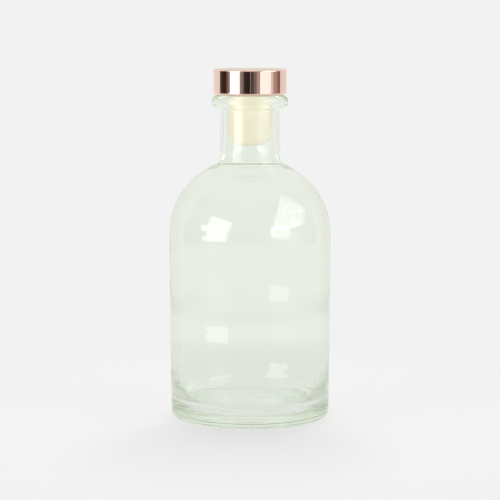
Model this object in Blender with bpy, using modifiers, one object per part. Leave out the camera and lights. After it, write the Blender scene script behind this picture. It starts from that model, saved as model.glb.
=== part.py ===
# Glass bottle with a push-in stopper: a blown glass body and a metal-capped synthetic cork.
# Metres, standing on z = 0 with its axis on +Z. The stopper pulls straight up out of the neck.

import math

import bmesh
import bpy
from mathutils import Matrix, Vector

# Gap left between two pieces that touch on the real bottle
SEAT_GAP = 0.0003

# Glass, outside: body, shoulder and neck
BODY_RADIUS = 0.03415
FOOT_RADIUS = 0.03355
SHOULDER_LEVEL = 0.0785
SHOULDER_RADIUS = 0.0315
NECK_FOOT_RADIUS = 0.01286
NECK_TOP_RADIUS = 0.01262
NECK_FILLET = 0.005
NECK_LENGTH = 0.0195

# Glass, outside: the rounded bead at the mouth
LIP_RADIUS = 0.01608
LIP_HEIGHT = 0.0058
LIP_TOP_ROUND = 0.0024
LIP_UNDER_ROUND = 0.00275
LIP_FILLET = 0.0005

# Glass, underside: heel, bearing ring and push-up
HEEL_RADIUS = 0.0036
RING_WIDTH = 0.002
PUSH_UP_HEIGHT = 0.0012

# Glass, inside
WALL = 0.0034
BORE_RADIUS = 0.0095
BORE_FOOT_RADIUS = 0.0098
BORE_FILLET = 0.014
MOUTH_ROUND = 0.0009
FLOOR_LEVEL = 0.0048
FLOOR_CROWN = 0.0012
INNER_HEEL_WIDTH = 0.008
INNER_HEEL_HEIGHT = 0.015

# Glass, inside: the low swell where the wall settled as it was blown
SWELL_LEVEL = 0.044
SWELL_HEIGHT = 0.0006
SWELL_WIDTH = 0.006
SWELL_REACH_SHARE = 2.5

# Metal shell of the stopper, drawn from sheet, with its lower edge turned in. It leaves a ledge of lip
LIP_LEDGE = 0.00063
CAP_RADIUS = LIP_RADIUS - LIP_LEDGE
CAP_HEIGHT = 0.0107
CAP_EDGE_ROUND = 0.0008
SHEET = 0.00045
HEM_WIDTH = 0.0016

# Moulded insert that fills the shell and holds the shank
INSERT_RIM_WALL = 0.0013
INSERT_PLATE = 0.0016
HUB_RADIUS = 0.0042
BOSS_CLEARANCE = 0.0003
WEB_COUNT = 8
WEB_THICKNESS = 0.001
WEB_DROP = 0.0012
GRIP_COUNT = 16
GRIP_WIDTH = 0.0012
GRIP_HEIGHT = 0.0003
GRIP_END_DROP = 0.001
WEB_ROOT = 0.0003

# Barbed stud under the insert
STUD_RADIUS = 0.0029
STUD_LENGTH = 0.0145
STUD_TIP_CHAMFER = 0.0008
BARB_HEIGHT = 0.0007
BARB_COUNT = 4
BARB_START = 0.003

# Shank of synthetic cork
SHANK_LENGTH = 0.0213
SHANK_END_ROUND = 0.0055
SHANK_TOP_ROUND = 0.0004
SOCKET_SPARE = 0.0012

# Sides around each round piece, and points along its rounded outlines
GLASS_SIDES = 64
CAP_SIDES = 64
STOPPER_SIDES = 48
LARGE_ARC_STEPS = 10
HEEL_ARC_STEPS = 5
SWELL_STEPS = 6
ARC_STEPS = 4
SMALL_ARC_STEPS = 3
MERGE_DISTANCE = 0.00001
SHARP_ANGLE = math.radians(35)

# Angles in the plane of an outline, from +r towards +z
OUTWARD = 0.0
UPWARD = math.pi / 2
INWARD = math.pi
DOWNWARD = -math.pi / 2

# Levels that several pieces share
SHOULDER_CENTRE_RADIUS = BODY_RADIUS - SHOULDER_RADIUS


def fillet_centre(shoulder_arc, fillet, neck_radius):
    """Centre of the fillet that rolls off the shoulder arc on to the neck's wall."""
    radius = neck_radius + fillet
    rise = math.sqrt((shoulder_arc + fillet) ** 2 - (radius - SHOULDER_CENTRE_RADIUS) ** 2)
    return radius, SHOULDER_LEVEL + rise


NECK_FOOT_LEVEL = fillet_centre(SHOULDER_RADIUS, NECK_FILLET, NECK_FOOT_RADIUS)[1]
LIP_FOOT_LEVEL = NECK_FOOT_LEVEL + NECK_LENGTH
MOUTH_LEVEL = LIP_FOOT_LEVEL + LIP_HEIGHT
STOPPER_LEVEL = MOUTH_LEVEL + SEAT_GAP


# Scene and collections

def clear_scene():
    """Remove whatever the file already holds."""
    for thing in list(bpy.data.objects):
        bpy.data.objects.remove(thing, do_unlink=True)


def new_collection(name):
    """Add a collection to the scene."""
    collection = bpy.data.collections.new(name)
    bpy.context.scene.collection.children.link(collection)
    return collection


def new_material(name, colour, roughness, metallic=0.0, transmission=0.0, ior=1.5):
    """Principled material of one finish."""
    material = bpy.data.materials.new(name)
    material.use_nodes = True
    shader = material.node_tree.nodes["Principled BSDF"]
    shader.inputs["Base Color"].default_value = (*colour, 1.0)
    shader.inputs["Roughness"].default_value = roughness
    shader.inputs["Metallic"].default_value = metallic
    shader.inputs["Transmission Weight"].default_value = transmission
    shader.inputs["IOR"].default_value = ior
    return material


# Outlines: lists of (radius, height) points

def oval(centre, width, height, start, end, steps):
    """Points on an oval of two half-axes from one angle to another, both ends included."""
    points = []
    for step in range(steps + 1):
        angle = start + (end - start) * step / steps
        points.append((centre[0] + width * math.cos(angle), centre[1] + height * math.sin(angle)))
    return points


def arc(centre, radius, start, end, steps):
    """Points on a circle from one angle to another, both ends included."""
    return oval(centre, radius, radius, start, end, steps)


def crown(edge_radius, level, height, steps):
    """Points of a low dome from its centre out to its edge, level at both."""
    points = []
    for step in range(steps + 1):
        share = step / steps
        points.append((edge_radius * share, level + height * (1 + math.cos(math.pi * share)) / 2))
    return points


def swollen_wall(low, high):
    """Points up a straight wall, from one end's line to the other's, that swells inward on its way."""
    points = []
    for step in range(SWELL_STEPS + 1):
        offset = SWELL_WIDTH * SWELL_REACH_SHARE * (2 * step / SWELL_STEPS - 1)
        level = SWELL_LEVEL + offset
        taper = low[0] + (high[0] - low[0]) * (level - low[1]) / (high[1] - low[1])
        points.append((taper - SWELL_HEIGHT * math.exp(-(offset / SWELL_WIDTH) ** 2), level))
    return points


def tangent_angle(centre):
    """Direction from the shoulder's centre to the centre of a fillet that touches its arc."""
    return math.atan2(centre[1] - SHOULDER_LEVEL, centre[0] - SHOULDER_CENTRE_RADIUS)


def without_repeats(points):
    """Drop each point that lies on the one before it."""
    kept = [points[0]]
    for point in points[1:]:
        if math.dist(point, kept[-1]) > MERGE_DISTANCE:
            kept.append(point)
    return kept


# Turned pieces

def turned(name, outline, sides, collection, material, parent=None):
    """Revolve an outline about +Z. Its outer side runs from top to bottom."""
    points = without_repeats(outline)
    mesh = bpy.data.meshes.new(name)
    edges = [(index, index + 1) for index in range(len(points) - 1)]
    mesh.from_pydata([(radius, 0, height) for radius, height in points], edges, [])
    piece = bpy.data.objects.new(name, mesh)
    collection.objects.link(piece)
    screw = piece.modifiers.new("turn", "SCREW")
    screw.axis = "Z"
    screw.angle = math.tau
    screw.steps = sides
    screw.render_steps = sides
    screw.use_merge_vertices = True
    screw.merge_threshold = MERGE_DISTANCE
    make_solid_mesh(piece)
    piece.data.materials.append(material)
    piece.parent = parent
    return piece


def make_solid_mesh(piece):
    """Turn the piece's modifiers into its own mesh, smooth but for its sharp edges."""
    evaluated = piece.evaluated_get(bpy.context.evaluated_depsgraph_get())
    mesh = bpy.data.meshes.new_from_object(evaluated)
    piece.modifiers.clear()
    outline_mesh = piece.data
    piece.data = mesh
    bpy.data.meshes.remove(outline_mesh)
    mesh.name = piece.name
    mesh.shade_smooth()
    mesh.set_sharp_from_angle(angle=SHARP_ANGLE)


# Glass body

def glass_inside():
    """Outline of the glass from the middle of its floor up to the mouth."""
    foot = FOOT_RADIUS - WALL
    floor_radius = foot - INNER_HEEL_WIDTH
    heel_level = FLOOR_LEVEL + INNER_HEEL_HEIGHT
    shoulder = SHOULDER_RADIUS - WALL
    centre = fillet_centre(shoulder, BORE_FILLET, BORE_FOOT_RADIUS)
    touch = tangent_angle(centre)
    heel_centre = (floor_radius, heel_level)
    mouth_centre = (BORE_RADIUS + MOUTH_ROUND, MOUTH_LEVEL - MOUTH_ROUND)
    points = crown(floor_radius, FLOOR_LEVEL, FLOOR_CROWN, ARC_STEPS)
    points += oval(heel_centre, INNER_HEEL_WIDTH, INNER_HEEL_HEIGHT, DOWNWARD, OUTWARD, HEEL_ARC_STEPS)
    points += swollen_wall((foot, heel_level), (BODY_RADIUS - WALL, SHOULDER_LEVEL))
    points += arc((SHOULDER_CENTRE_RADIUS, SHOULDER_LEVEL), shoulder, OUTWARD, touch, LARGE_ARC_STEPS)
    points += arc(centre, BORE_FILLET, touch + math.pi, INWARD, ARC_STEPS)
    points += arc(mouth_centre, MOUTH_ROUND, INWARD, UPWARD, SMALL_ARC_STEPS)
    return points


def glass_lip():
    """Outline of the bead from the top of the mouth out and down to the neck."""
    top_centre = (LIP_RADIUS - LIP_TOP_ROUND, MOUTH_LEVEL - LIP_TOP_ROUND)
    under_centre = (LIP_RADIUS - LIP_UNDER_ROUND, LIP_FOOT_LEVEL + LIP_UNDER_ROUND)
    fillet_at = (NECK_TOP_RADIUS + LIP_FILLET, LIP_FOOT_LEVEL - LIP_FILLET)
    points = arc(top_centre, LIP_TOP_ROUND, UPWARD, OUTWARD, ARC_STEPS)
    points += arc(under_centre, LIP_UNDER_ROUND, OUTWARD, DOWNWARD, ARC_STEPS)
    points += arc(fillet_at, LIP_FILLET, UPWARD, INWARD, SMALL_ARC_STEPS)
    return points


def glass_outside():
    """Outline of the glass from the foot of the neck down to the bearing ring."""
    centre = fillet_centre(SHOULDER_RADIUS, NECK_FILLET, NECK_FOOT_RADIUS)
    touch = tangent_angle(centre)
    heel_centre = (FOOT_RADIUS - HEEL_RADIUS, HEEL_RADIUS)
    points = arc(centre, NECK_FILLET, INWARD, touch + math.pi, ARC_STEPS)
    points += arc((SHOULDER_CENTRE_RADIUS, SHOULDER_LEVEL), SHOULDER_RADIUS, touch, OUTWARD, LARGE_ARC_STEPS)
    points += arc(heel_centre, HEEL_RADIUS, OUTWARD, DOWNWARD, ARC_STEPS)
    return points


def glass_underside():
    """Outline of the push-up from the bearing ring in to the middle."""
    edge_radius = FOOT_RADIUS - HEEL_RADIUS - RING_WIDTH
    return list(reversed(crown(edge_radius, 0, PUSH_UP_HEIGHT, ARC_STEPS)))


def build_glass(collection):
    """One blown piece, open at the mouth, with a wall that thickens into the base and the lip."""
    glass = new_material("green_tinted_glass", (0.86, 0.93, 0.84), 0.02, transmission=1.0, ior=1.52)
    outline = glass_inside() + glass_lip() + glass_outside() + glass_underside()
    return turned("glass_bottle", outline, GLASS_SIDES, collection, glass)


# Stopper: heights are measured from its underside, which sits on the lip

def build_shell(collection, parent):
    """Drawn metal cup over the insert, hemmed inward at its lower edge."""
    metal = new_material("rose_gold_metal", (0.82, 0.58, 0.48), 0.06, metallic=1.0)
    corner = CAP_RADIUS - CAP_EDGE_ROUND
    top_centre = (corner, CAP_HEIGHT - CAP_EDGE_ROUND)
    low_centre = (corner, CAP_EDGE_ROUND)
    hem_radius = CAP_RADIUS - HEM_WIDTH
    inner_round = CAP_EDGE_ROUND - SHEET
    outline = [(0, CAP_HEIGHT)]
    outline += arc(top_centre, CAP_EDGE_ROUND, UPWARD, OUTWARD, ARC_STEPS)
    outline += arc(low_centre, CAP_EDGE_ROUND, OUTWARD, DOWNWARD, ARC_STEPS)
    outline += [(hem_radius, 0), (hem_radius, SHEET)]
    outline += arc(low_centre, inner_round, DOWNWARD, OUTWARD, SMALL_ARC_STEPS)
    outline += arc(top_centre, inner_round, OUTWARD, UPWARD, SMALL_ARC_STEPS)
    outline += [(0, CAP_HEIGHT - SHEET)]
    return turned("cap_shell", outline, CAP_SIDES, collection, metal, parent)


def stud_outline():
    """Outline of the stud from the insert's underside to its tip, one step per barb."""
    pitch = (STUD_LENGTH - BARB_START - STUD_TIP_CHAMFER) / BARB_COUNT
    points = [(STUD_RADIUS, 0)]
    for barb in range(BARB_COUNT):
        level = -BARB_START - barb * pitch
        points += [(STUD_RADIUS, level), (STUD_RADIUS + BARB_HEIGHT, level)]
    tip = STUD_RADIUS - STUD_TIP_CHAMFER
    points += [(STUD_RADIUS, STUD_TIP_CHAMFER - STUD_LENGTH), (tip, -STUD_LENGTH), (0, -STUD_LENGTH)]
    return points


def ring_of_blocks(name, count, low, high, width, collection, parent):
    """Blocks set evenly round the axis. Each spans low to high, given as (radius, height)."""
    mesh = bpy.data.meshes.new(name)
    blocks = bmesh.new()
    size = Vector((high[0] - low[0], width, high[1] - low[1]))
    middle = Vector((high[0] + low[0], 0, high[1] + low[1])) / 2
    for block in range(count):
        turn = Matrix.Rotation(math.tau * block / count, 4, "Z")
        place = turn @ Matrix.Translation(middle) @ Matrix.Diagonal((*size, 1))
        bmesh.ops.create_cube(blocks, size=1, matrix=place)
    blocks.to_mesh(mesh)
    blocks.free()
    guide = bpy.data.objects.new(name, mesh)
    guide.hide_render = True
    guide.display_type = "WIRE"
    guide.parent = parent
    collection.objects.link(guide)
    return guide


def join(piece, guide):
    """Fuse a guide's shape into a piece."""
    union = piece.modifiers.new(guide.name, "BOOLEAN")
    union.operation = "UNION"
    union.solver = "EXACT"
    union.object = guide


def build_insert(collection, guides, parent):
    """Moulded plug: cored out round a webbed hub, gripping the shell, with a stud below."""
    plastic = new_material("ivory_plastic", (0.80, 0.76, 0.66), 0.4)
    grip_tip = CAP_RADIUS - SHEET - SEAT_GAP
    rim_radius = grip_tip - GRIP_HEIGHT
    rim_inside = rim_radius - INSERT_RIM_WALL
    boss_radius = CAP_RADIUS - HEM_WIDTH - BOSS_CLEARANCE
    flange_level = SHEET + SEAT_GAP
    pocket_level = flange_level + INSERT_PLATE
    top = CAP_HEIGHT - SHEET - SEAT_GAP
    outline = [(0, top), (HUB_RADIUS, top), (HUB_RADIUS, pocket_level), (rim_inside, pocket_level)]
    outline += [(rim_inside, top), (rim_radius, top), (rim_radius, flange_level)]
    outline += [(boss_radius, flange_level), (boss_radius, 0)]
    outline += stud_outline()
    insert = turned("cap_insert", outline, STOPPER_SIDES, collection, plastic, parent)
    web_low = (HUB_RADIUS - WEB_ROOT, pocket_level - WEB_ROOT)
    web_high = (rim_inside + WEB_ROOT, top - WEB_DROP)
    webs = ring_of_blocks("insert_webs", WEB_COUNT, web_low, web_high, WEB_THICKNESS, guides, parent)
    grip_low = (rim_radius - WEB_ROOT, flange_level + GRIP_END_DROP)
    grip_high = (grip_tip, top - GRIP_END_DROP)
    grips = ring_of_blocks("insert_grips", GRIP_COUNT, grip_low, grip_high, GRIP_WIDTH, guides, parent)
    join(insert, webs)
    join(insert, grips)
    return insert


def build_shank(collection, parent):
    """Foamed plug that fills the neck, with a blind socket for the stud."""
    cork = new_material("cream_synthetic_cork", (0.88, 0.81, 0.62), 0.6)
    radius = BORE_RADIUS - SEAT_GAP
    top = -SEAT_GAP
    bottom = top - SHANK_LENGTH
    socket_radius = STUD_RADIUS + BARB_HEIGHT + SEAT_GAP
    socket_floor = -STUD_LENGTH - SOCKET_SPARE
    outline = [(0, socket_floor), (socket_radius, socket_floor), (socket_radius, top)]
    top_centre = (radius - SHANK_TOP_ROUND, top - SHANK_TOP_ROUND)
    end_centre = (radius - SHANK_END_ROUND, bottom + SHANK_END_ROUND)
    outline += arc(top_centre, SHANK_TOP_ROUND, UPWARD, OUTWARD, SMALL_ARC_STEPS)
    outline += arc(end_centre, SHANK_END_ROUND, OUTWARD, DOWNWARD, ARC_STEPS)
    outline += [(0, bottom)]
    return turned("stopper_shank", outline, STOPPER_SIDES, collection, cork, parent)


def build_stopper(collection, guides):
    """Shell, insert and shank, which move together along the neck's axis."""
    pull = bpy.data.objects.new("stopper_pull", None)
    pull.location = (0, 0, STOPPER_LEVEL)
    collection.objects.link(pull)
    build_shell(collection, pull)
    build_insert(collection, guides, pull)
    build_shank(collection, pull)


def main():
    """Build the whole bottle."""
    clear_scene()
    collection = new_collection("stoppered_bottle")
    guides = new_collection("guides")
    build_glass(collection)
    build_stopper(collection, guides)


main()
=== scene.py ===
# Looks of the stoppered bottle: blown glass, a polished metal cap, a foam cork and a pale studio.
# Metres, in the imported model's frame: the bottle stands on z = 0, its axis is +Z and the camera is on -Y.

import math

import bpy
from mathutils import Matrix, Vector


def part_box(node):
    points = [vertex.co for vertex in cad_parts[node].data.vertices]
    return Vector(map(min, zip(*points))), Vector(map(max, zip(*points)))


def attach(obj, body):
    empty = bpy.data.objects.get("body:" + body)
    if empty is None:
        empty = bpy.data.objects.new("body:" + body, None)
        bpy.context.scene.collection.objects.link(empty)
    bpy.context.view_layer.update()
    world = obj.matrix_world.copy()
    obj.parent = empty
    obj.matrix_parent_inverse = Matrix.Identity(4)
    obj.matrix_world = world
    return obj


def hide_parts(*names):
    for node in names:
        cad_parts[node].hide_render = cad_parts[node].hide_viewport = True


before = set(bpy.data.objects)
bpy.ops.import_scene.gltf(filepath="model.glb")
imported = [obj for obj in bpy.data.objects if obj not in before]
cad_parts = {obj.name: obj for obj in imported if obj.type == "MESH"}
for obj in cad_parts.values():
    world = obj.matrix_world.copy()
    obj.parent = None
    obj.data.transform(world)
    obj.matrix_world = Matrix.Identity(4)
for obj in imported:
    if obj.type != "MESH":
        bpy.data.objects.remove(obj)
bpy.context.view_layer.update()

# Camera, from the photograph's perspective
CAMERA_DISTANCE = 0.9462
CAMERA_HEIGHT = 0.1839
CAMERA_PITCH = math.radians(6.79)
CAMERA_LENS = 161.9
CAMERA_SENSOR = 36.0
CAMERA_NEAREST = 0.01

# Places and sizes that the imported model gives
GLASS_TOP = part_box("glass_bottle")[1]
CAP_LOW, CAP_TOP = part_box("cap_shell")
SHANK_LOW, SHANK_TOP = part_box("stopper_shank")
BODY_RADIUS = GLASS_TOP.x
MOUTH_LEVEL = GLASS_TOP.z
CAP_RADIUS = CAP_TOP.x
SHANK_RADIUS = SHANK_TOP.x

# Glass, outside
FOOT_RADIUS = 0.03355
SHOULDER_LEVEL = 0.0785
SHOULDER_RADIUS = 0.0315
NECK_FOOT_RADIUS = 0.01286
NECK_TOP_RADIUS = 0.01262
NECK_FILLET = 0.0025
LIP_RADIUS = 0.01608
LIP_HEIGHT = 0.0058
LIP_TOP_ROUND = 0.0024
LIP_UNDER_ROUND = 0.00275
LIP_FILLET = 0.0005
HEEL_RADIUS = 0.0036
RING_WIDTH = 0.002
PUSH_UP_HEIGHT = 0.0005
SHOULDER_CENTRE_RADIUS = BODY_RADIUS - SHOULDER_RADIUS
LIP_FOOT_LEVEL = MOUTH_LEVEL - LIP_HEIGHT

# Glass, inside
WALL = 0.0034
BORE_RADIUS = 0.0095
BORE_FOOT_RADIUS = 0.0098
BORE_FILLET = 0.017
MOUTH_ROUND = 0.0009
FLOOR_LEVEL = 0.0048
FLOOR_CROWN = 0.0003
INNER_HEEL_WIDTH = 0.007
INNER_HEEL_HEIGHT = 0.018

# Glass, inside: the low swell where the wall settled as it was blown
SWELL_LEVEL = 0.044
SWELL_HEIGHT = 0.0006
SWELL_WIDTH = 0.006
SWELL_REACH_SHARE = 2.5

# Metal shell
CAP_EDGE_ROUND = 0.0008
CAP_TOP_ROUND = 0.0006
CAP_DOME = 0.00025
SHEET = 0.00045
HEM_WIDTH = 0.0016

# Cork shank
SHANK_END_ROUND = 0.0055
SHANK_TOP_ROUND = 0.0004
SOCKET_RADIUS = 0.0039
SOCKET_DEPTH = 0.0154

# Fineness of the turned surfaces
SIDES = 256
ARC_STEPS = 16
LARGE_ARC_STEPS = 48
SWELL_STEPS = 48
WALL_STEP = 0.0015
MERGE_DISTANCE = 0.000001
SHARP_ANGLE = math.radians(35)

# Angles in the plane of an outline, from +r towards +z
OUTWARD = 0.0
UPWARD = math.pi / 2
INWARD = math.pi
DOWNWARD = -math.pi / 2

# Patterns: how much fine detail a cloudy pattern has, and the middle part of its values that is used
SOFT_DETAIL = 1
PLAIN_DETAIL = 2
CELL_DETAIL = 3
MOTTLE_DETAIL = 4
PATTERN_RANGE = (0.35, 0.65)

# Glass: how it bends light, how it greens with depth and how much light its shadow lets through
GLASS_INDEX = 1.5
DEPTH_TINT = (0.28, 0.52, 0.08)
DEPTH_DENSITY = 3.2
SHADOW_TINT = (0.965, 0.965, 0.965)

# Glass: tint of each surface seen square on, and of the body's outside seen aslant
SURFACE_TINT = (0.9595, 0.9895, 0.9425)
ASLANT_TINT = (0.825, 0.895, 0.725)
ASLANT_START = 0.5
ASLANT_END = 0.6

# Glass: waves left by blowing, which fade out at the heel and at the neck
WAVE_FEATURE = 0.014
WAVE_HEIGHT = 0.00006
HEEL_FADE = (0.012, 0.02)
NECK_FADE = (0.096, 0.108)

# Glass: shift that sets the waves outside apart from those inside, and the least that counts as outside
WAVE_SHIFT = 0.03
OUTSIDE_SHIFT = 0.0075

# Glass: the mould's seams and the stippled bearing ring
SEAM_HALF_WIDTH = 0.0004
SEAM_HEIGHT = 0.00004
STIPPLE_FEATURE = 0.0005
STIPPLE_HEIGHT = 0.00003
STIPPLE_ROUGHNESS = 0.25
RING_FADE = (0.0002, 0.0004)

# Cap: colour, dents of the drawn sheet, and the polish's fine rings
ROSE_GOLD = (0.93, 0.68, 0.56)
SHEET_WAVE_FEATURE = 0.009
SHEET_WAVE_HEIGHT = 0.000006
POLISH_FEATURE = 0.00012
POLISH_TURNS = 3
POLISHED_ROUGHNESS = (0.03, 0.055)

# Cork: cells, the slow mottling of the foam and the soft sheen of its cut edges
CELL_FEATURE = 0.00045
CELL_HEIGHT = 0.00005
MOTTLE_FEATURE = 0.0028
CORK_PALE = (0.985, 0.935, 0.75)
CORK_DEEP = (0.955, 0.885, 0.685)
CORK_SHEEN = 0.6
CORK_SHEEN_ROUGHNESS = 0.35
CORK_ROUGHNESS = (0.5, 0.75)

# Insert: spark-eroded grain of its mould
GRAIN_FEATURE = 0.0003
GRAIN_HEIGHT = 0.00001
PLASTIC_PALE = (0.82, 0.78, 0.68)
PLASTIC_DEEP = (0.78, 0.735, 0.63)
PLASTIC_ROUGHNESS = (0.35, 0.5)

# Surroundings: brightness of the pale paper
PAPER = 0.887
PAPER_COLOUR = (PAPER, PAPER, PAPER)

# Light on matt surfaces: its level at the horizon and above, and the elevation in degrees where it ends
AMBIENT_LEVEL = 1.0
AMBIENT_ABOVE = 0.05
AMBIENT_END = 40

# Table: the reach of the shadow, beyond which the table is one even colour
TABLE_RADIUS = 0.62
SHADOW_INNER_RADIUS = 0.12
SHADOW_OUTER_RADIUS = 0.2

# Table as reflections and the glass show it: painted shade, a little darker near the bottle
SHADE_INNER_RADIUS = 0.1
SHADE_OUTER_RADIUS = 0.3
SHADE_SHARE = 0.9
SEEN_THROUGH_INNER_RADIUS = 0.0
SEEN_THROUGH_OUTER_RADIUS = 0.01

# What reflections see: stops of azimuth in degrees, brightness, and warmth from 0, grey, to 1, brown
ROOM = (
    (-180, PAPER, 0), (-111, PAPER, 0), (-107, 0.1, 0.6), (-91, 0.032, 1), (-82, 0.045, 0.95),
    (-74, 0.19, 0.5), (-65, 0.4, 0.15), (-33, 0.38, 0), (-20, 0.15, 0.1), (-18, 0.045, 0.5),
    (-6, 0.022, 0.5), (0, 0.03, 0.5), (1.5, 0.4, 0), (3, 0.03, 0.5), (7.5, 0.11, 0.3),
    (11, 0.05, 0.5), (13, 0.22, 0.1), (20, 0.16, 0.4), (22, 0.46, 0.15), (30.5, 0.36, 0.15),
    (32, 0.8, 0), (66, 0.85, 0), (76, 0.75, 0.2), (79, 0.52, 0.5), (95, 0.35, 0.5),
    (107, 0.11, 0.9), (110, 0.85, 0.15), (180, PAPER, 0),
)
# Table as reflections see it, in the same columns: painted light, brighter under the softboxes
PAINTED_TABLE_LIGHT = (
    (-180, PAPER, 0), (-110, PAPER, 0), (-90, 0.7, 0), (-72, 0.7, 0), (-62, 0.9, 0), (-36, 0.9, 0),
    (-28, 0.66, 0), (28, 0.66, 0), (36, 0.9, 0), (62, 0.9, 0), (80, 0.72, 0), (110, PAPER, 0),
    (180, PAPER, 0),
)
CEILING = (
    (-180, PAPER, 0.1), (-108, PAPER, 0.1), (-100, 0.5, 0.3), (100, 0.5, 0.3), (108, PAPER, 0.1),
    (180, PAPER, 0.1),
)

# Shares of green and blue that the warmest light lacks
WARM_LOSS_SHARES = (0.52, 0.56)

# Elevations in degrees: the room gives way to the ceiling, and the ceiling to paper overhead
CEILING_START = 3
CEILING_END = 16
OVERHEAD_START = 40
OVERHEAD_END = 60

# Beige wall low behind the bottle, which only grazing reflections show. Sizes are in degrees.
BACK_WALL_COLOUR = (0.745, 0.69, 0.59)
BACK_WALL_FOOT = 0.6
BACK_WALL_TOP = 8
BACK_WALL_EDGE = 1
BACK_WALL_SPREAD = 14

# Left softbox: its distance, and its corners as azimuth in degrees and height
LEFT_BRIGHTNESS = 3.2
LEFT_DISTANCE = 0.75
LEFT_CORNERS = (
    (-70.4, 0), (-33.5, 0), (-33.5, 0.13), (-26, 0.37), (-62.5, 0.45), (-65, 0.25), (-75, 0.255),
    (-73.5, 0.16), (-64, 0.155), (-64, 0.075), (-71, 0.07),
)

# Right softbox and its foot: their place along x, and their corners as y and height
RIGHT_BRIGHTNESS = 2.6
RIGHT_PLACE = 0.62
RIGHT_CORNERS = (
    (-0.95, 0.27), (-0.74, 0.6), (-0.11, 0.95), (0, 0.6), (0.08, 0.36), (-0.1, 0.2), (-0.4, 0.2),
)
RIGHT_FOOT_BRIGHTNESS = 1.3
RIGHT_FOOT_COLOUR = (0.98, 1, 1.08)
RIGHT_FOOT_CORNERS = ((-1, 0), (-1, 0.15), (-0.26, 0.15), (-0.26, 0))

# Softboxes: creases of the cloth, and the least and the most of the brightness that they leave
CLOTH_FEATURE = 0.05
CLOTH_RANGE = (0.4, 0.6)
CREASED_SHARES = (0.6, 1.25)
EVEN_SHARES = (1, 1)
WHITE = (1, 1, 1)

# Suns: azimuth, elevation and spread in degrees, and strength
SUNS = {
    "rear_light": (175, 62, 40, 2.24),
    "left_fill": (-60, 8, 70, 1.57),
    "right_fill": (60, 8, 70, 1.5),
}

# Bounces of light that glass behind glass needs
BOUNCES = 200

# Sockets of a colour mix by number, because several share a name
MIX_FACTOR = 0
MIX_FIRST = 6
MIX_SECOND = 7
MIX_RESULT = 2

# Turns in degrees
HALF_TURN = 180
FULL_TURN = 360


# Outlines: lists of (radius, height) points

def oval(centre, width, height, start, end, steps):
    """Points on an oval of two half-axes from one angle to another, both ends included."""
    points = []
    for step in range(steps + 1):
        angle = start + (end - start) * step / steps
        points.append((centre[0] + width * math.cos(angle), centre[1] + height * math.sin(angle)))
    return points


def arc(centre, radius, start, end, steps):
    """Points on a circle from one angle to another, both ends included."""
    return oval(centre, radius, radius, start, end, steps)


def line(start, end, steps):
    """Points between two others, without its ends."""
    points = []
    for step in range(1, steps):
        share = step / steps
        points.append((start[0] + (end[0] - start[0]) * share, start[1] + (end[1] - start[1]) * share))
    return points


def crown(edge_radius, level, height, steps):
    """Points of a low dome from its centre out to its edge, level at both."""
    points = []
    for step in range(steps + 1):
        share = step / steps
        points.append((edge_radius * share, level + height * (1 + math.cos(math.pi * share)) / 2))
    return points


def fillet_centre(shoulder_arc, fillet, neck_radius):
    """Centre of the fillet that rolls off the shoulder arc on to the neck's wall."""
    radius = neck_radius + fillet
    rise = math.sqrt((shoulder_arc + fillet) ** 2 - (radius - SHOULDER_CENTRE_RADIUS) ** 2)
    return radius, SHOULDER_LEVEL + rise


def tangent_angle(centre):
    """Direction from the shoulder's centre to the centre of a fillet that touches its arc."""
    return math.atan2(centre[1] - SHOULDER_LEVEL, centre[0] - SHOULDER_CENTRE_RADIUS)


def swollen_wall(low, high):
    """Points up a straight wall, from one end's line to the other's, that swells inward on its way."""
    points = []
    for step in range(SWELL_STEPS + 1):
        offset = SWELL_WIDTH * SWELL_REACH_SHARE * (2 * step / SWELL_STEPS - 1)
        level = SWELL_LEVEL + offset
        taper = low[0] + (high[0] - low[0]) * (level - low[1]) / (high[1] - low[1])
        points.append((taper - SWELL_HEIGHT * math.exp(-(offset / SWELL_WIDTH) ** 2), level))
    return points


def without_repeats(points):
    """Drop each point that lies on the one before it."""
    kept = [points[0]]
    for point in points[1:]:
        if math.dist(point, kept[-1]) > MERGE_DISTANCE:
            kept.append(point)
    return kept


def joined(*parts):
    """One outline from several, with straight stretches between them divided evenly."""
    points = list(parts[0])
    for part in map(list, parts[1:]):
        gap = math.dist(points[-1], part[0])
        steps = max(1, round(gap / WALL_STEP))
        points += line(points[-1], part[0], steps)
        points += part
    return without_repeats(points)


# Turned meshes

def turned_faces(ring_count):
    """Faces between neighbouring rings, then the fans that close the first ring and the last."""
    faces = []
    for ring in range(ring_count - 1):
        for side in range(SIDES):
            following = (side + 1) % SIDES
            low, high = ring * SIDES, (ring + 1) * SIDES
            faces.append((low + side, high + side, high + following, low + following))
    start, end = ring_count * SIDES, ring_count * SIDES + 1
    for side in range(SIDES):
        faces.append((start, side, (side + 1) % SIDES))
    last = (ring_count - 1) * SIDES
    for side in range(SIDES):
        faces.append((last + side, end, last + (side + 1) % SIDES))
    return faces


def turned(name, outline):
    """Smooth mesh turned about +Z from an outline whose ends, and no other points, lie on the axis."""
    start, *rings, end = outline
    vertices = []
    for radius, height in rings:
        for side in range(SIDES):
            angle = math.tau * side / SIDES
            vertices.append((radius * math.cos(angle), radius * math.sin(angle), height))
    vertices += [(0, 0, start[1]), (0, 0, end[1])]
    faces = turned_faces(len(rings))
    mesh = bpy.data.meshes.new(name)
    mesh.from_pydata(vertices, [], faces)
    mesh.validate()
    mesh.shade_smooth()
    mesh.set_sharp_from_angle(angle=SHARP_ANGLE)
    piece = bpy.data.objects.new(name, mesh)
    bpy.context.scene.collection.objects.link(piece)
    return piece


# Material helpers: features are given as the distance over which a pattern changes

def new_material(name):
    """Material with its nodes and its Principled shader."""
    material = bpy.data.materials.new(name)
    material.use_nodes = True
    tree = material.node_tree
    return material, tree, tree.nodes["Principled BSDF"]


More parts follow.
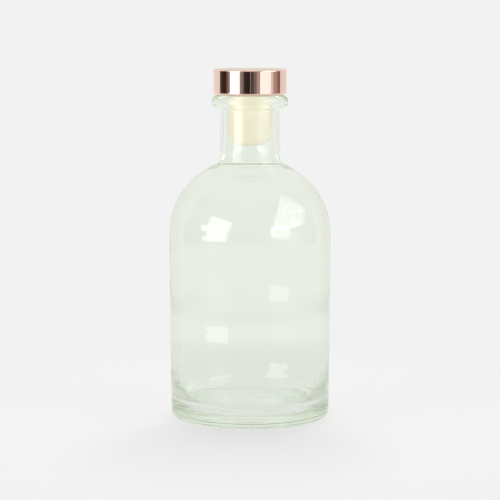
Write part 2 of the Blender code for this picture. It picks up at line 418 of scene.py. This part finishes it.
def map_range(tree, value, low, high, at_low=0, at_high=1):
    """Output of a clamped map from one range of values to another."""
    node = tree.nodes.new("ShaderNodeMapRange")
    node.inputs["From Min"].default_value = low
    node.inputs["From Max"].default_value = high
    node.inputs["To Min"].default_value = at_low
    node.inputs["To Max"].default_value = at_high
    tree.links.new(value, node.inputs["Value"])
    return node.outputs["Result"]


def set_sockets(tree, sockets, values):
    """Give each socket its value, a number or another node's output."""
    for socket, value in zip(sockets, values):
        if isinstance(value, (int, float)):
            socket.default_value = value
        else:
            tree.links.new(value, socket)


def calculated(tree, operation, *values):
    """Output of a math node. Each value is a number or another node's output."""
    node = tree.nodes.new("ShaderNodeMath")
    node.operation = operation
    set_sockets(tree, node.inputs, values)
    return node.outputs["Value"]


def product(tree, *values):
    """Product of two or more values."""
    result = values[0]
    for value in values[1:]:
        result = calculated(tree, "MULTIPLY", result, value)
    return result


def parts_of(tree, vector):
    """X, Y and Z outputs of a vector."""
    node = tree.nodes.new("ShaderNodeSeparateXYZ")
    tree.links.new(vector, node.inputs["Vector"])
    return node.outputs["X"], node.outputs["Y"], node.outputs["Z"]


def vector_of(tree, x, y, z):
    """Vector of three values, each a number or another node's output."""
    node = tree.nodes.new("ShaderNodeCombineXYZ")
    set_sockets(tree, node.inputs, (x, y, z))
    return node.outputs["Vector"]


def colour_mix(tree, factor, first, second):
    """Output of a colour mix. Each side is a colour or another node's output."""
    mix = tree.nodes.new("ShaderNodeMix")
    mix.data_type = "RGBA"
    tree.links.new(factor, mix.inputs[MIX_FACTOR])
    for socket, side in ((mix.inputs[MIX_FIRST], first), (mix.inputs[MIX_SECOND], second)):
        if isinstance(side, tuple):
            socket.default_value = (*side, 1)
        else:
            tree.links.new(side, socket)
    return mix.outputs[MIX_RESULT]


def shader_mix(tree, factor, first, second):
    """Output of a mix of two shaders."""
    mix = tree.nodes.new("ShaderNodeMixShader")
    set_sockets(tree, mix.inputs, (factor, first, second))
    return mix.outputs["Shader"]


def own_place(tree):
    """Place on the piece in its own frame, so that patterns move with it."""
    return tree.nodes.new("ShaderNodeTexCoord").outputs["Object"]


def noise(tree, place, feature, detail=PLAIN_DETAIL, shift=None):
    """Cloudy pattern between 0 and 1 whose clouds are about one feature wide."""
    node = tree.nodes.new("ShaderNodeTexNoise")
    node.inputs["Scale"].default_value = 1 / feature
    node.inputs["Detail"].default_value = detail
    tree.links.new(place, node.inputs["Vector"])
    if shift is not None:
        node.noise_dimensions = "4D"
        tree.links.new(shift, node.inputs["W"])
    return node.outputs["Fac"]


def add_relief(tree, shader, *layers):
    """Bump from (pattern, height) layers, one over the other."""
    below = None
    for pattern, height in layers:
        bump = tree.nodes.new("ShaderNodeBump")
        bump.inputs["Distance"].default_value = height
        tree.links.new(pattern, bump.inputs["Height"])
        if below is not None:
            tree.links.new(below, bump.inputs["Normal"])
        below = bump.outputs["Normal"]
    tree.links.new(below, shader.inputs["Normal"])


def mottled(tree, place, pale, deep):
    """Colour that drifts slowly between two others over the piece."""
    pattern = noise(tree, place, MOTTLE_FEATURE, MOTTLE_DETAIL)
    return colour_mix(tree, map_range(tree, pattern, *PATTERN_RANGE), pale, deep)


def roughened(tree, shader, pattern, roughness):
    """Roughness that follows a pattern, from one level to another."""
    tree.links.new(map_range(tree, pattern, *PATTERN_RANGE, *roughness), shader.inputs["Roughness"])


# Glass bottle

def surface_side(tree, place):
    """Value above zero on the outside of the bottle and below it on the inside."""
    geometry = tree.nodes.new("ShaderNodeNewGeometry")
    x, y, _ = parts_of(tree, place)
    outward = tree.nodes.new("ShaderNodeVectorMath")
    outward.operation = "NORMALIZE"
    tree.links.new(vector_of(tree, x, y, 0), outward.inputs[0])
    facing = tree.nodes.new("ShaderNodeVectorMath")
    facing.operation = "DOT_PRODUCT"
    tree.links.new(outward.outputs["Vector"], facing.inputs[0])
    tree.links.new(geometry.outputs["Normal"], facing.inputs[1])
    turned_over = map_range(tree, geometry.outputs["Backfacing"], 0, 1, WAVE_SHIFT, -WAVE_SHIFT)
    return calculated(tree, "MULTIPLY", facing.outputs["Value"], turned_over)


def body_zone(tree, z):
    """Share of the surface that belongs to the body, between the heel and the neck."""
    return product(tree, map_range(tree, z, *HEEL_FADE), map_range(tree, z, *NECK_FADE, 1, 0))


def mould_seam(tree, y):
    """Ridge where the two halves of the mould met, at the bottle's left and right."""
    return map_range(tree, calculated(tree, "ABSOLUTE", y), 0, SEAM_HALF_WIDTH, 1, 0)


def glass_colour(tree, body, side):
    """Tint of one surface: pale square on, and greener where the body's outside is seen aslant."""
    layer = tree.nodes.new("ShaderNodeLayerWeight")
    aslant = map_range(tree, layer.outputs["Facing"], ASLANT_START, ASLANT_END)
    outside = map_range(tree, side, 0, OUTSIDE_SHIFT)
    return colour_mix(tree, product(tree, aslant, outside, body), SURFACE_TINT, ASLANT_TINT)


def add_passing(tree, shader, output):
    """Let the light for other surfaces straight through, so that the glass casts only a faint shadow."""
    passing = tree.nodes.new("ShaderNodeBsdfTransparent")
    passing.inputs["Color"].default_value = (*SHADOW_TINT, 1)
    path = tree.nodes.new("ShaderNodeLightPath")
    either = calculated(tree, "MAXIMUM", path.outputs["Is Shadow Ray"], path.outputs["Is Diffuse Ray"])
    mixed = shader_mix(tree, either, shader.outputs["BSDF"], passing.outputs["BSDF"])
    tree.links.new(mixed, output.inputs["Surface"])


def add_depth_tint(tree, output):
    """Green that deepens with the length of glass that light crosses."""
    tint = tree.nodes.new("ShaderNodeVolumeAbsorption")
    tint.inputs["Color"].default_value = (*DEPTH_TINT, 1)
    tint.inputs["Density"].default_value = DEPTH_DENSITY
    tree.links.new(tint.outputs["Volume"], output.inputs["Volume"])


def glass_material():
    """Clear soda glass with faint waves, two mould seams and a stippled bearing ring."""
    material, tree, shader = new_material("green_tinted_glass")
    shader.inputs["IOR"].default_value = GLASS_INDEX
    shader.inputs["Transmission Weight"].default_value = 1
    place = own_place(tree)
    _, y, z = parts_of(tree, place)
    body = body_zone(tree, z)
    side = surface_side(tree, place)
    tree.links.new(glass_colour(tree, body, side), shader.inputs["Base Color"])
    ring = map_range(tree, z, *RING_FADE, 1, 0)
    tree.links.new(calculated(tree, "MULTIPLY", ring, STIPPLE_ROUGHNESS), shader.inputs["Roughness"])
    waves = product(tree, body, noise(tree, place, WAVE_FEATURE, SOFT_DETAIL, side))
    stipple = product(tree, ring, noise(tree, place, STIPPLE_FEATURE))
    seam = mould_seam(tree, y)
    add_relief(tree, shader, (waves, WAVE_HEIGHT), (seam, SEAM_HEIGHT), (stipple, STIPPLE_HEIGHT))
    output = tree.nodes["Material Output"]
    add_passing(tree, shader, output)
    add_depth_tint(tree, output)
    return material


def glass_inside():
    """Outline of the glass from the middle of its floor up to the mouth."""
    foot = FOOT_RADIUS - WALL
    floor_radius = foot - INNER_HEEL_WIDTH
    heel_level = FLOOR_LEVEL + INNER_HEEL_HEIGHT
    shoulder = SHOULDER_RADIUS - WALL
    centre = fillet_centre(shoulder, BORE_FILLET, BORE_FOOT_RADIUS)
    touch = tangent_angle(centre)
    heel_centre = (floor_radius, heel_level)
    mouth_centre = (BORE_RADIUS + MOUTH_ROUND, MOUTH_LEVEL - MOUTH_ROUND)
    return joined(
        crown(floor_radius, FLOOR_LEVEL, FLOOR_CROWN, ARC_STEPS),
        oval(heel_centre, INNER_HEEL_WIDTH, INNER_HEEL_HEIGHT, DOWNWARD, OUTWARD, LARGE_ARC_STEPS),
        swollen_wall((foot, heel_level), (BODY_RADIUS - WALL, SHOULDER_LEVEL)),
        arc((SHOULDER_CENTRE_RADIUS, SHOULDER_LEVEL), shoulder, OUTWARD, touch, LARGE_ARC_STEPS),
        arc(centre, BORE_FILLET, touch + math.pi, INWARD, LARGE_ARC_STEPS),
        arc(mouth_centre, MOUTH_ROUND, INWARD, UPWARD, ARC_STEPS),
    )


def glass_lip():
    """Outline of the bead from the top of the mouth out and down to the neck."""
    top_centre = (LIP_RADIUS - LIP_TOP_ROUND, MOUTH_LEVEL - LIP_TOP_ROUND)
    under_centre = (LIP_RADIUS - LIP_UNDER_ROUND, LIP_FOOT_LEVEL + LIP_UNDER_ROUND)
    fillet_at = (NECK_TOP_RADIUS + LIP_FILLET, LIP_FOOT_LEVEL - LIP_FILLET)
    return joined(
        arc(top_centre, LIP_TOP_ROUND, UPWARD, OUTWARD, ARC_STEPS),
        arc(under_centre, LIP_UNDER_ROUND, OUTWARD, DOWNWARD, ARC_STEPS),
        arc(fillet_at, LIP_FILLET, UPWARD, INWARD, ARC_STEPS),
    )


def glass_outside():
    """Outline of the glass from the foot of the neck down to the bearing ring."""
    centre = fillet_centre(SHOULDER_RADIUS, NECK_FILLET, NECK_FOOT_RADIUS)
    touch = tangent_angle(centre)
    shoulder_centre = (SHOULDER_CENTRE_RADIUS, SHOULDER_LEVEL)
    heel_centre = (FOOT_RADIUS - HEEL_RADIUS, HEEL_RADIUS)
    return joined(
        arc(centre, NECK_FILLET, INWARD, touch + math.pi, ARC_STEPS),
        arc(shoulder_centre, SHOULDER_RADIUS, touch, OUTWARD, LARGE_ARC_STEPS),
        arc(heel_centre, HEEL_RADIUS, OUTWARD, DOWNWARD, ARC_STEPS),
    )


def glass_underside():
    """Outline of the push-up from the bearing ring in to the middle."""
    edge_radius = FOOT_RADIUS - HEEL_RADIUS - RING_WIDTH
    return list(reversed(crown(edge_radius, 0, PUSH_UP_HEIGHT, ARC_STEPS)))


def build_glass():
    """The blown bottle, smooth inside and out."""
    outline = joined(glass_inside(), glass_lip(), glass_outside(), glass_underside())
    piece = turned("blown_glass", outline)
    piece.data.materials.append(glass_material())
    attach(piece, "bottle")
    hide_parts("glass_bottle")


# Metal cap

def polish_rings(tree, place):
    """Fine rings round the axis, on the cap's side and on its top alike."""
    x, y, z = parts_of(tree, place)
    square = calculated(tree, "ADD", product(tree, x, x), product(tree, y, y))
    reach = calculated(tree, "SQRT", square)
    azimuth = calculated(tree, "ARCTAN2", y, x)
    turn = calculated(tree, "MULTIPLY", azimuth, POLISH_TURNS * POLISH_FEATURE)
    return noise(tree, vector_of(tree, reach, turn, z), POLISH_FEATURE)


def cap_material():
    """Mirror-polished rose gold, with the faint rings of its polishing."""
    material, tree, shader = new_material("rose_gold")
    shader.inputs["Base Color"].default_value = (*ROSE_GOLD, 1)
    shader.inputs["Metallic"].default_value = 1
    place = own_place(tree)
    roughened(tree, shader, polish_rings(tree, place), POLISHED_ROUGHNESS)
    dents = noise(tree, place, SHEET_WAVE_FEATURE, SOFT_DETAIL)
    add_relief(tree, shader, (dents, SHEET_WAVE_HEIGHT))
    return material


def build_cap():
    """The drawn metal shell, slightly domed and hemmed inward at its lower edge."""
    low, top = CAP_LOW.z, CAP_TOP.z
    top_radius = CAP_RADIUS - CAP_TOP_ROUND
    edge_level = top - CAP_DOME
    top_centre = (top_radius, edge_level - CAP_TOP_ROUND)
    low_centre = (CAP_RADIUS - CAP_EDGE_ROUND, low + CAP_EDGE_ROUND)
    hem_radius = CAP_RADIUS - HEM_WIDTH
    outline = joined(
        crown(top_radius, edge_level, CAP_DOME, ARC_STEPS),
        arc(top_centre, CAP_TOP_ROUND, UPWARD, OUTWARD, ARC_STEPS),
        arc(low_centre, CAP_EDGE_ROUND, OUTWARD, DOWNWARD, ARC_STEPS),
        [(hem_radius, low), (hem_radius, low + SHEET)],
        arc(low_centre, CAP_EDGE_ROUND - SHEET, DOWNWARD, OUTWARD, ARC_STEPS),
        arc(top_centre, CAP_TOP_ROUND - SHEET, OUTWARD, UPWARD, ARC_STEPS),
        reversed(crown(top_radius, edge_level - SHEET, CAP_DOME, ARC_STEPS)),
    )
    piece = turned("metal_cap", outline)
    piece.data.materials.append(cap_material())
    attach(piece, "stopper")
    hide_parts("cap_shell")


# Foam cork

def cork_material():
    """Cream closed-cell foam, faintly mottled and pitted with cut cells."""
    material, tree, shader = new_material("cream_foam")
    shader.inputs["Sheen Weight"].default_value = CORK_SHEEN
    shader.inputs["Sheen Roughness"].default_value = CORK_SHEEN_ROUGHNESS
    place = own_place(tree)
    cells = noise(tree, place, CELL_FEATURE, CELL_DETAIL)
    tree.links.new(mottled(tree, place, CORK_PALE, CORK_DEEP), shader.inputs["Base Color"])
    roughened(tree, shader, cells, CORK_ROUGHNESS)
    add_relief(tree, shader, (cells, CELL_HEIGHT))
    return material


def build_cork():
    """The foamed shank, with its socket for the stud."""
    low, top = SHANK_LOW.z, SHANK_TOP.z
    socket_level = top - SOCKET_DEPTH
    top_centre = (SHANK_RADIUS - SHANK_TOP_ROUND, top - SHANK_TOP_ROUND)
    end_centre = (SHANK_RADIUS - SHANK_END_ROUND, low + SHANK_END_ROUND)
    outline = joined(
        [(0, socket_level), (SOCKET_RADIUS, socket_level), (SOCKET_RADIUS, top)],
        arc(top_centre, SHANK_TOP_ROUND, UPWARD, OUTWARD, ARC_STEPS),
        arc(end_centre, SHANK_END_ROUND, OUTWARD, DOWNWARD, ARC_STEPS),
        [(0, low)],
    )
    piece = turned("foam_cork", outline)
    piece.data.materials.append(cork_material())
    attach(piece, "stopper")
    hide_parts("stopper_shank")


# Moulded insert

def plastic_material():
    """Ivory moulded plastic with a fine grain."""
    material, tree, shader = new_material("ivory_plastic")
    place = own_place(tree)
    grain = noise(tree, place, GRAIN_FEATURE)
    tree.links.new(mottled(tree, place, PLASTIC_PALE, PLASTIC_DEEP), shader.inputs["Base Color"])
    roughened(tree, shader, grain, PLASTIC_ROUGHNESS)
    add_relief(tree, shader, (grain, GRAIN_HEIGHT))
    return material


def dress_insert():
    """The moulded insert keeps its own shape and gets its plastic."""
    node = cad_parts["cap_insert"]
    node.data.materials.clear()
    node.data.materials.append(plastic_material())


# Studio

def sine(degrees):
    """Height of a unit direction that rises by an angle."""
    return math.sin(math.radians(degrees))


def warmed(level, warmth):
    """Colour of a brightness that loses green and blue as it gets warmer."""
    green_loss_share, blue_loss_share = WARM_LOSS_SHARES
    return level, level * (1 - green_loss_share * warmth), level * (1 - blue_loss_share * warmth), 1


def azimuth_ramp(tree, direction, levels):
    """Colour by azimuth, from the camera's side and positive to the right, out of a list of stops."""
    x, y, _ = parts_of(tree, direction)
    azimuth = calculated(tree, "ARCTAN2", x, calculated(tree, "MULTIPLY", y, -1))
    ramp = tree.nodes.new("ShaderNodeValToRGB")
    stops = ramp.color_ramp.elements
    for index, (angle, level, warmth) in enumerate(levels):
        at = (angle + HALF_TURN) / FULL_TURN
        stop = stops[index] if index < len(stops) else stops.new(at)
        stop.position = at
        stop.color = warmed(level, warmth)
    tree.links.new(map_range(tree, azimuth, -math.pi, math.pi), ramp.inputs["Fac"])
    return ramp.outputs["Color"]


def table_glow(tree, place, reach, path):
    """Glow of the paper's colour, even for the camera. Reflections show it with painted light under the
    softboxes, and reflections and the glass show it with painted shade near the bottle.
    """
    camera = path.outputs["Is Camera Ray"]
    plain = calculated(tree, "MAXIMUM", camera, path.outputs["Is Transmission Ray"])
    # Painted shade: the glow dims near the bottle for all rays but the camera's
    shade = map_range(tree, reach, SHADE_INNER_RADIUS, SHADE_OUTER_RADIUS, SHADE_SHARE, 1)
    colour = colour_mix(tree, plain, azimuth_ramp(tree, place, PAINTED_TABLE_LIGHT), PAPER_COLOUR)
    glow = tree.nodes.new("ShaderNodeEmission")
    tree.links.new(colour, glow.inputs["Color"])
    tree.links.new(calculated(tree, "MAXIMUM", shade, camera), glow.inputs["Strength"])
    return glow.outputs["Emission"]


def table_material():
    """Matt paper that takes the shadow near the bottle, and glows beyond it: evenly for the camera, with
    painted light and shade for reflections.
    """
    material, tree, shader = new_material("pale_table")
    tree.nodes.remove(shader)
    place = own_place(tree)
    distance = tree.nodes.new("ShaderNodeVectorMath")
    distance.operation = "LENGTH"
    tree.links.new(place, distance.inputs[0])
    reach = distance.outputs["Value"]
    path = tree.nodes.new("ShaderNodeLightPath")
    beyond = map_range(tree, reach, SHADOW_INNER_RADIUS, SHADOW_OUTER_RADIUS)
    off_axis = map_range(tree, reach, SEEN_THROUGH_INNER_RADIUS, SEEN_THROUGH_OUTER_RADIUS)
    through = product(tree, off_axis, path.outputs["Is Transmission Ray"])
    glowing = calculated(tree, "MAXIMUM", beyond, through)
    paper = tree.nodes.new("ShaderNodeBsdfDiffuse")
    paper.inputs["Color"].default_value = (*PAPER_COLOUR, 1)
    glow = table_glow(tree, place, reach, path)
    surface = shader_mix(tree, glowing, paper.outputs["BSDF"], glow)
    tree.links.new(surface, tree.nodes["Material Output"].inputs["Surface"])
    return material


def build_floor():
    """Pale table that keeps the soft shadow near the bottle and is one even colour beyond it."""
    bpy.ops.mesh.primitive_circle_add(vertices=SIDES, radius=TABLE_RADIUS, fill_type="NGON")
    table = bpy.context.object
    table.name = "table"
    table.data.materials.append(table_material())


def glowing_cloth(name, brightness, colour, crease_shares):
    """Lit cloth whose creases vary its brightness between two shares."""
    material, tree, shader = new_material(name)
    tree.nodes.remove(shader)
    pattern = noise(tree, own_place(tree), CLOTH_FEATURE)
    cloth = map_range(tree, pattern, *CLOTH_RANGE, *crease_shares)
    glow = tree.nodes.new("ShaderNodeEmission")
    glow.inputs["Color"].default_value = (*colour, 1)
    tree.links.new(calculated(tree, "MULTIPLY", cloth, brightness), glow.inputs["Strength"])
    tree.links.new(glow.outputs["Emission"], tree.nodes["Material Output"].inputs["Surface"])
    return material


def add_card(name, corners, brightness, colour=WHITE, crease_shares=EVEN_SHARES):
    """Lit panel that only reflections and the glass see."""
    mesh = bpy.data.meshes.new(name)
    mesh.from_pydata(corners, [], [tuple(range(len(corners)))])
    mesh.materials.append(glowing_cloth(name, brightness, colour, crease_shares))
    card = bpy.data.objects.new(name, mesh)
    bpy.context.scene.collection.objects.link(card)
    card.visible_camera = False
    card.visible_diffuse = False
    card.visible_shadow = False


def around(azimuth, distance, height):
    """Point at an azimuth in degrees from the camera's side, positive to the right."""
    turn = math.radians(azimuth)
    return distance * math.sin(turn), -distance * math.cos(turn), height


def build_softboxes():
    """Bright softbox on the left, and a taller, dimmer one on the right with a low foot."""
    left = [around(azimuth, LEFT_DISTANCE, height) for azimuth, height in LEFT_CORNERS]
    right = [(RIGHT_PLACE, y, height) for y, height in RIGHT_CORNERS]
    foot = [(RIGHT_PLACE, y, height) for y, height in RIGHT_FOOT_CORNERS]
    add_card("left_softbox", left, LEFT_BRIGHTNESS)
    add_card("right_softbox", right, RIGHT_BRIGHTNESS, crease_shares=CREASED_SHARES)
    add_card("right_softbox_foot", foot, RIGHT_FOOT_BRIGHTNESS, RIGHT_FOOT_COLOUR)


def add_sun(name, azimuth, elevation, spread, strength):
    """Broad, even light from one side. Reflections don't show it."""
    data = bpy.data.lights.new(name, "SUN")
    data.angle = math.radians(spread)
    data.energy = strength
    lamp = bpy.data.objects.new(name, data)
    bpy.context.scene.collection.objects.link(lamp)
    towards = Vector(around(azimuth, math.cos(math.radians(elevation)), sine(elevation)))
    lamp.rotation_euler = towards.to_track_quat("Z", "Y").to_euler()
    lamp.visible_glossy = False
    lamp.visible_transmission = False


def build_lights():
    """High light from behind that lays the shadow towards the camera, and low fills from the front."""
    for name, settings in SUNS.items():
        add_sun(name, *settings)


def room_colour(tree, direction, rise):
    """The room by azimuth, with its ceiling above and pale paper overhead."""
    room = azimuth_ramp(tree, direction, ROOM)
    ceiling = azimuth_ramp(tree, direction, CEILING)
    upward = map_range(tree, rise, sine(CEILING_START), sine(CEILING_END))
    overhead = map_range(tree, rise, sine(OVERHEAD_START), sine(OVERHEAD_END))
    return colour_mix(tree, overhead, colour_mix(tree, upward, room, ceiling), PAPER_COLOUR)


def back_wall(tree, rise, depth):
    """Share of the surroundings that the low wall behind the bottle covers."""
    foot, top = BACK_WALL_FOOT, BACK_WALL_TOP
    above_foot = map_range(tree, rise, sine(foot - BACK_WALL_EDGE), sine(foot))
    below_top = map_range(tree, rise, sine(top), sine(top + BACK_WALL_EDGE), 1, 0)
    behind = map_range(tree, depth, math.cos(math.radians(BACK_WALL_SPREAD)), 1)
    return product(tree, above_foot, below_top, behind)


def build_world():
    """Even pale surroundings. Reflections see the room in front of the bottle as well."""
    world = bpy.data.worlds.new("studio")
    bpy.context.scene.world = world
    world.use_nodes = True
    tree = world.node_tree
    direction = tree.nodes.new("ShaderNodeTexCoord").outputs["Generated"]
    _, depth, rise = parts_of(tree, direction)
    room = room_colour(tree, direction, rise)
    surroundings = colour_mix(tree, back_wall(tree, rise, depth), room, BACK_WALL_COLOUR)
    steepness = calculated(tree, "ABSOLUTE", rise)
    ambient = map_range(tree, steepness, 0, sine(AMBIENT_END), AMBIENT_LEVEL, AMBIENT_ABOVE)
    path = tree.nodes.new("ShaderNodeLightPath")
    glossy = colour_mix(tree, path.outputs["Is Glossy Ray"], ambient, surroundings)
    through = colour_mix(tree, path.outputs["Is Transmission Ray"], glossy, PAPER_COLOUR)
    direct = colour_mix(tree, path.outputs["Is Camera Ray"], through, PAPER_COLOUR)
    tree.links.new(direct, tree.nodes["Background"].inputs["Color"])


def build_camera():
    """Camera at the photograph's viewpoint."""
    data = bpy.data.cameras.new("camera")
    data.sensor_width = CAMERA_SENSOR
    data.lens = CAMERA_LENS
    data.clip_start = CAMERA_NEAREST
    camera = bpy.data.objects.new("camera", data)
    bpy.context.scene.collection.objects.link(camera)
    camera.location = (0, -CAMERA_DISTANCE, CAMERA_HEIGHT)
    camera.rotation_euler = (math.pi / 2 - CAMERA_PITCH, 0, 0)
    bpy.context.scene.camera = camera


def set_render():
    """Plain colour, and enough bounces for glass behind glass."""
    scene = bpy.context.scene
    scene.view_settings.view_transform = "Standard"
    scene.cycles.max_bounces = BOUNCES
    scene.cycles.glossy_bounces = BOUNCES
    scene.cycles.transmission_bounces = BOUNCES
    scene.cycles.transparent_max_bounces = BOUNCES


build_glass()
build_cap()
build_cork()
dress_insert()
build_floor()
build_softboxes()
build_lights()
build_world()
build_camera()
set_render()
